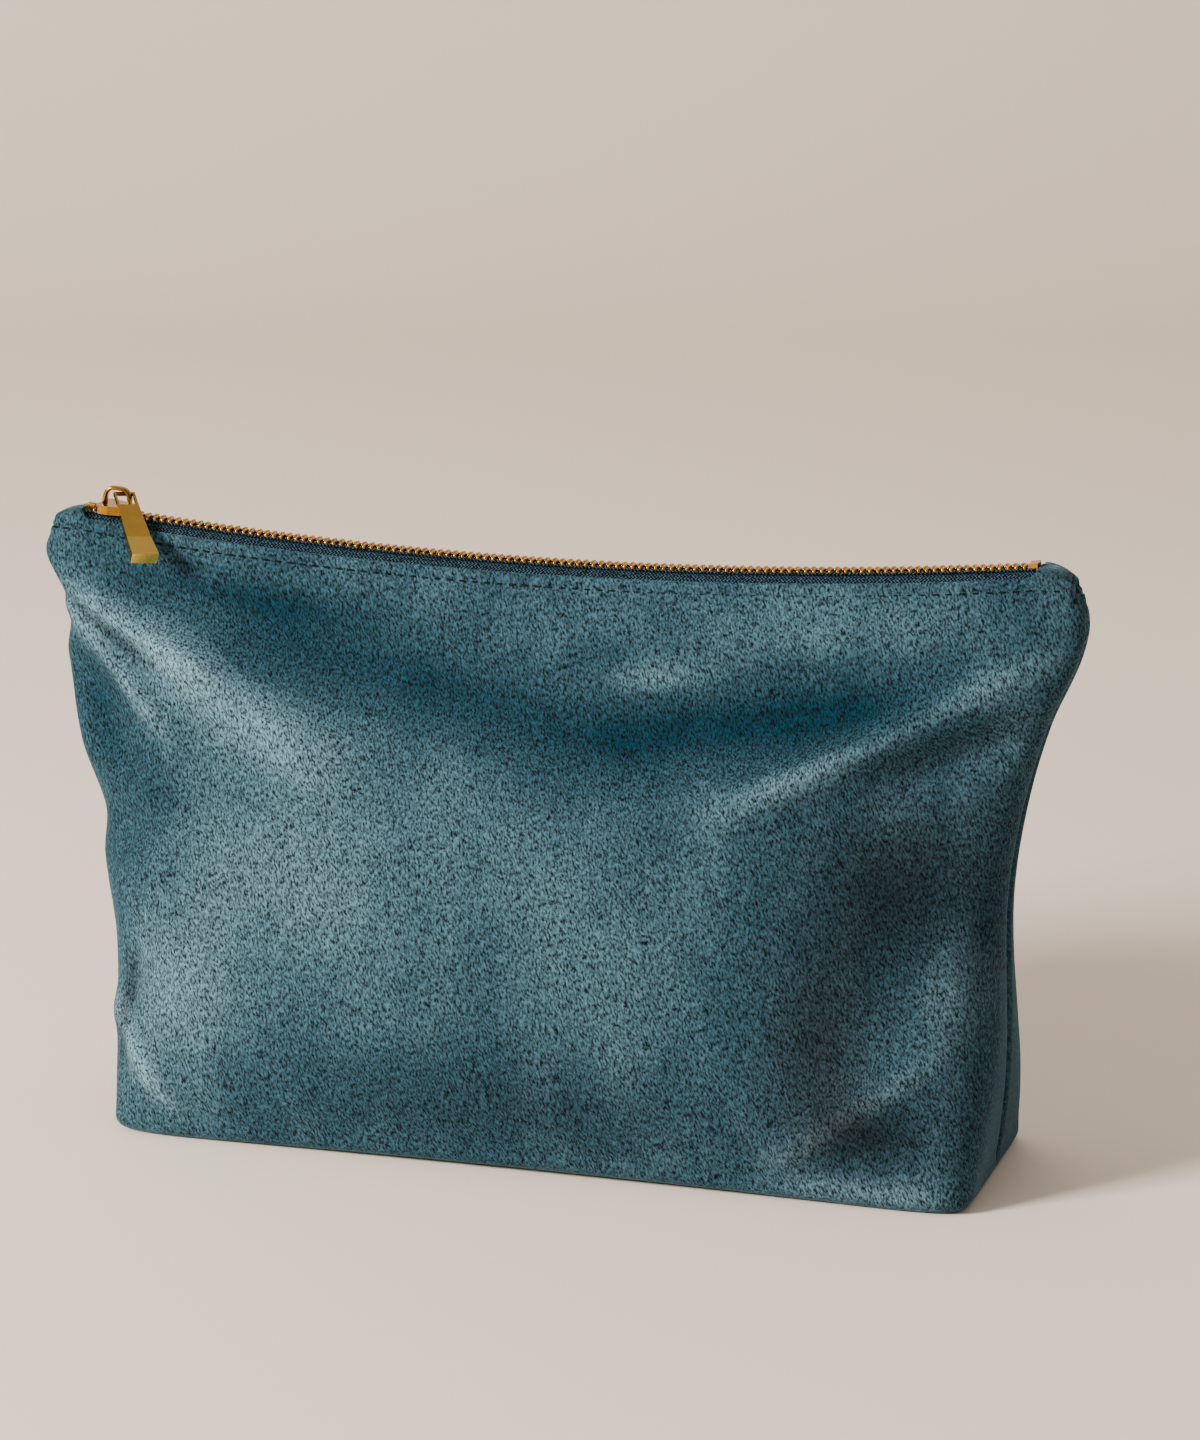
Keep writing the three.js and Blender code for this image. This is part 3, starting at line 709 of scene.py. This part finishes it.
def teeth(side, word):
    offset = TOOTH_PITCH / 2 if side > 0 else 0
    vertices, faces = [], []
    count_here = TOOTH_COUNT if side > 0 else TOOTH_COUNT + 1  # one more fits on the front row
    for i in range(count_here):
        x = FIRST_TOOTH + offset + i * TOOTH_PITCH
        slope = x / ZIP_RADIUS
        start = len(vertices)
        for depth, half_w, half_h, middle in TOOTH:
            section = rounded_section(half_w, half_h, min(half_w, half_h) * 0.55)
            y = side * (depth + float(parted(x)))
            for dx, dz in section:
                vertices.append((x + dx - slope * dz, y, float(zip_z(x)) + middle + dz + slope * dx))
        count = len(section)
        ring = grid_faces(len(TOOTH), count, closed_columns=True, flip=side < 0)
        faces += [[start + v for v in f] for f in ring]
        first = list(range(start, start + count))
        last = list(range(start + (len(TOOTH) - 1) * count, start + len(TOOTH) * count))
        faces += [first[::-1], last] if side > 0 else [first, last[::-1]]
    obj = new_mesh(f"teeth_{word}", vertices, faces)
    obj.data.materials.append(teeth_gold)
    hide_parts(f"teeth_row_{word}")
    return obj


def cord(side, word):
    """The corded edge of the tape, which the teeth are clamped to."""
    half_length, half_wide, half_tall, ring = 129, 0.5, 0.42, 8
    x = np.linspace(-half_length, half_length, 500)
    points = []
    for k in range(ring):
        turn = math.tau * k / ring
        y = side * (2.05 + parted(x) + half_wide * math.cos(turn))
        z = zip_z(x) - 0.45 + half_tall * math.sin(turn)
        points.append(np.stack([x, y, z], -1))
    points = np.array(points).transpose(1, 0, 2)
    faces = grid_faces(len(x), ring, closed_columns=True, flip=side > 0)
    last = (len(x) - 1) * ring
    caps = [list(range(ring)), list(range(last, last + ring))[::-1]]
    faces += caps if side > 0 else [c[::-1] for c in caps]
    obj = new_mesh(f"tape_cord_{word}", points.reshape(-1, 3), faces)
    obj.data.materials.append(tape_look)
    return obj


for side, word in ((-1, "front"), (1, "back")):
    for piece in (tape(side, word), teeth(side, word), cord(side, word)):
        if side < 0:
            opens(piece)
        else:
            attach(piece, "root")


# --- stitches ---------------------------------------------------------------------------
def stitch_mesh(name, places, directions, outs, length, radius):
    """Capsule-like stitches, each humped a little off the fabric."""
    vertices, faces = [], []
    ring, rings = 6, 7
    for place, along, out in zip(places, directions, outs):
        sideways = np.cross(out, along)
        start = len(vertices)
        for k in range(rings):
            s = k / (rings - 1)
            thick = radius * (0.35 + 0.65 * math.sin(math.pi * s) ** 0.5)
            sink = -0.3 * (2 * s - 1) ** 4
            centre = place + along * (s - 0.5) * length + out * sink
            for j in range(ring):
                turn = math.tau * j / ring
                vertices.append(centre + thick * (math.cos(turn) * sideways + math.sin(turn) * out))
        faces += [[start + v for v in f] for f in grid_faces(rings, ring, True)]
        last = start + (rings - 1) * ring
        faces += [list(range(start, start + ring))[::-1], list(range(last, last + ring))]
    obj = new_mesh(name, np.array(vertices), faces)
    obj.data.materials.append(thread_look)
    return obj


def topstitches(side, word):
    pitch, length, radius, row_half, step = 3.4, 2.3, 0.3, 137, 0.5
    x = np.arange(-row_half, row_half + 0.1, pitch)
    here, ahead = (np.stack([at, wall_y(side, 0, at, stitch_z(at)), stitch_z(at)], -1)
                   for at in (x, x + step))
    along = ahead - here
    along /= np.linalg.norm(along, axis=1)[:, None]
    out = np.cross(along, np.array([0, 0, 1.0])) * (1 if side < 0 else -1)
    out /= np.linalg.norm(out, axis=1)[:, None]
    places = here - out * 0.2
    obj = stitch_mesh(f"topstitches_{word}", places, along, out, length, radius)
    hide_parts(f"topstitch_{word}")
    return obj


for side, word in ((-1, "front"), (1, "back")):
    stitches = topstitches(side, word)
    if side < 0:
        opens(stitches)
    else:
        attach(stitches, "root")


# --- side seams -------------------------------------------------------------------------
def tube(name, path, radius, look, ring=8):
    """A closed round cord along a path."""
    path = np.asarray(path)
    along = np.gradient(path, axis=0)
    along /= np.linalg.norm(along, axis=1)[:, None]
    first = np.cross(along, np.array([0, 1.0, 0]))
    first /= np.linalg.norm(first, axis=1)[:, None]
    second = np.cross(along, first)
    turns = math.tau * np.arange(ring) / ring
    points = (path[:, None] + radius * (np.cos(turns)[:, None] * first[:, None]
                                        + np.sin(turns)[:, None] * second[:, None]))
    last = (len(path) - 1) * ring
    faces = grid_faces(len(path), ring, closed_columns=True)
    faces += [list(range(ring))[::-1], list(range(last, last + ring))]
    obj = new_mesh(name, points.reshape(-1, 3), faces)
    obj.data.materials.append(look)
    return obj


for end, word in ((0.0, "left"), (1.0, "right")):
    shares = np.linspace(0.05, 0.97, 120)
    seam = wall(-1, np.full_like(shares, end), shares)
    seam[:, 0] += 0.35 if end == 0 else -0.35
    seam[:, 1] = 0
    cord_piece = tube(f"seam_thread_{word}", seam, 0.3, thread_look)
    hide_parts(f"side_seam_thread_{word}")
    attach(cord_piece, "root")


# --- end tabs ---------------------------------------------------------------------------
def end_tab(direction, word):
    """Velvet folded over the zip's end: it closes the gap between the corners of the walls."""
    steps, ring = 26, 28
    inner, outer = TAB_START + 0.8, TOP_HALF_WIDTH - 3.8
    rows = []
    for i in range(steps + 1):
        x = inner + (outer - inner) * i / steps
        rim = float(rim_z(max(x, TAB_START + 1.8)))
        low, high = rim - 5.5, rim + 0.6
        half = max(abs(float(wall_y(1, 0, x, rim - 1.0))) - 0.25, 0.35)
        middle, tall = (high + low) / 2, (high - low) / 2
        row = []
        for k in range(ring):
            turn = math.tau * k / ring
            c, v = math.cos(turn), math.sin(turn)
            row.append((direction * x, half * np.sign(c) * abs(c) ** 0.6 * direction,
                        middle + tall * np.sign(v) * abs(v) ** 0.6))
        rows.append(row)
    points = np.array(rows)
    faces = grid_faces(steps + 1, ring, closed_columns=True)
    last = steps * ring
    faces += [list(range(ring))[::-1], list(range(last, last + ring))]
    obj = new_mesh(f"velvet_tab_{word}", points.reshape(-1, 3), faces)
    obj.data.materials.append(velvet_look)
    layer = obj.data.attributes.new("nap_and_painted_light", "FLOAT", "POINT")
    layer.data.foreach_set("value", np.full(len(obj.data.vertices), 0.42, np.float32))
    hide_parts(f"end_tab_{word}")
    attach(obj, "root")


end_tab(-1, "left")
end_tab(1, "right")


# --- bail, and the pieces carried over from the frame -----------------------------------
def dress(node, look, bevel=0.0):
    """Gives a carried-over piece its material and rounds its edges."""
    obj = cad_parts[node]
    obj.data.materials.clear()
    obj.data.materials.append(look)
    if bevel:
        edge = obj.modifiers.new("edges", "BEVEL")
        edge.width = bevel * MM
        edge.segments = 3
        edge.limit_method = "ANGLE"
        edge.angle_limit = math.radians(25)
        edge.harden_normals = True


def bail():
    """A flat bow over the slider, along the zip, that the pull hangs in."""
    half_span, foot, crown, squareness = 3.5, 2.0, 6.3, 3
    half_wide, half_thick, corner = 1.15, 0.5, 0.4
    slope = SLIDER_X / ZIP_RADIUS
    section = rounded_section(half_wide, half_thick, corner)
    turns = np.linspace(0, math.pi, 33)
    reach = (np.abs(np.cos(turns)) ** squareness + np.sin(turns) ** squareness) ** (-1 / squareness)
    path = np.stack([-half_span * np.cos(turns) * reach, foot + (crown - foot) * np.sin(turns) * reach], -1)
    along = np.gradient(path, axis=0)
    along /= np.linalg.norm(along, axis=1)[:, None]
    vertices = []
    for (px, pz), (ax, az) in zip(path, along):
        for wide, thick in section:
            dx, dz = px - az * thick, pz + ax * thick
            vertices.append((SLIDER_X + dx - slope * dz, wide, float(zip_z(SLIDER_X)) + dz + slope * dx))
    count = len(section)
    faces = grid_faces(len(path), count, closed_columns=True, flip=True)
    last = (len(path) - 1) * count
    faces += [list(range(count)), list(range(last, last + count))[::-1]]
    obj = new_mesh("bail_bow", vertices, faces)
    obj.data.materials.append(slider_gold)
    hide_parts("slider_bail")
    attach(obj, "slider")


bail()
dress("slider_body", slider_gold, 0.22)
dress("pull_tab", pull_gold, 0.16)
for node in ("top_stop_front", "top_stop_back", "bottom_stop"):
    dress(node, teeth_gold, 0.25)
dress("bottom_seam_thread", thread_look)


# --- room, light and camera -------------------------------------------------------------
AZIMUTH, ELEVATION = math.radians(17.0), math.radians(14.0)
CAMERA_TARGET_M = (0.0137, 0, 0.1145)
CAMERA_DISTANCE_M = 1.239
LENS = 118.7  # focal length, on a sensor SENSOR_WIDTH wide
SENSOR_WIDTH = 36


def room():
    """A plain pale floor that curves up into a plain backdrop, square to the view."""
    reach, flat, bend, tall, half = 3000, 1300, 600, 2000, 4000
    turns = np.linspace(0, math.pi / 2, 17)
    ahead = np.concatenate([[-reach], flat + bend * np.sin(turns), [flat + bend]])
    up = np.concatenate([[0], bend * (1 - np.cos(turns)), [tall]])
    rows = []
    for across in (-half, half):
        rows.append(np.stack([across * math.cos(AZIMUTH) - ahead * math.sin(AZIMUTH),
                              across * math.sin(AZIMUTH) + ahead * math.cos(AZIMUTH), up], -1))
    sweep = new_mesh("sweep", np.array(rows).reshape(-1, 3), grid_faces(2, len(ahead), flip=True))
    mat, _, _, shader = new_material("sweep")
    shader.inputs["Base Color"].default_value = linear(252, 236, 220)
    shader.inputs["Roughness"].default_value = 0.9
    sweep.data.materials.append(mat)


def area_light(name, place_m, target_m, size_m, power, colour):
    """A square light at place_m that faces target_m; its power is in watts."""
    data = bpy.data.lights.new(name, "AREA")
    data.energy = power
    data.size = size_m
    data.color = colour
    obj = bpy.data.objects.new(name, data)
    obj.location = place_m
    obj.rotation_euler = (Vector(target_m) - Vector(place_m)).to_track_quat("-Z", "Y").to_euler()
    bpy.context.scene.collection.objects.link(obj)


def camera():
    target = Vector(CAMERA_TARGET_M)
    away = Vector((math.sin(AZIMUTH) * math.cos(ELEVATION), -math.cos(AZIMUTH) * math.cos(ELEVATION),
                   math.sin(ELEVATION)))
    data = bpy.data.cameras.new("camera")
    data.lens = LENS
    data.sensor_width = SENSOR_WIDTH
    data.clip_start = 0.01
    obj = bpy.data.objects.new("camera", data)
    obj.location = target + away * CAMERA_DISTANCE_M
    obj.rotation_euler = (-away).to_track_quat("-Z", "Y").to_euler()
    bpy.context.scene.collection.objects.link(obj)
    bpy.context.scene.camera = obj


room()
area_light("key", (-1.56, -1.5, 1.0), (0, 0, 0.08), 0.6, 120, (1, 0.94, 0.87))
area_light("front_fill", (0.9, -1.5, 1.1), (0, 0, 0.1), 1.2, 3, (0.92, 0.96, 1))
area_light("top_fill", (-0.2, 0.1, 1.5), (0, 0, 0.1), 0.9, 5, (1, 0.97, 0.93))


def surroundings():
    """A plain studio: pale at eye level and bright overhead, with a dim band between."""
    world = bpy.data.worlds.new("room")
    world.use_nodes = True
    nodes, links = world.node_tree.nodes, world.node_tree.links
    where = nodes.new("ShaderNodeTexCoord")
    split = nodes.new("ShaderNodeSeparateXYZ")
    links.new(where.outputs["Generated"], split.inputs["Vector"])
    height = nodes.new("ShaderNodeMapRange")
    height.inputs["From Min"].default_value = -1
    links.new(split.outputs["Z"], height.inputs["Value"])
    tint = ramp_node(nodes, links, height.outputs["Result"], [
        (0.0, linear(200, 176, 156)), (0.5, linear(206, 190, 174)), (0.58, linear(190, 176, 164)),
        (0.66, linear(64, 56, 50)), (0.86, linear(255, 252, 248)), (0.905, linear(255, 250, 244)),
        (0.94, linear(222, 208, 194)), (1.0, linear(140, 128, 118))])
    links.new(tint, nodes["Background"].inputs["Color"])
    nodes["Background"].inputs["Strength"].default_value = 0.5
    bpy.context.scene.world = world


surroundings()
camera()
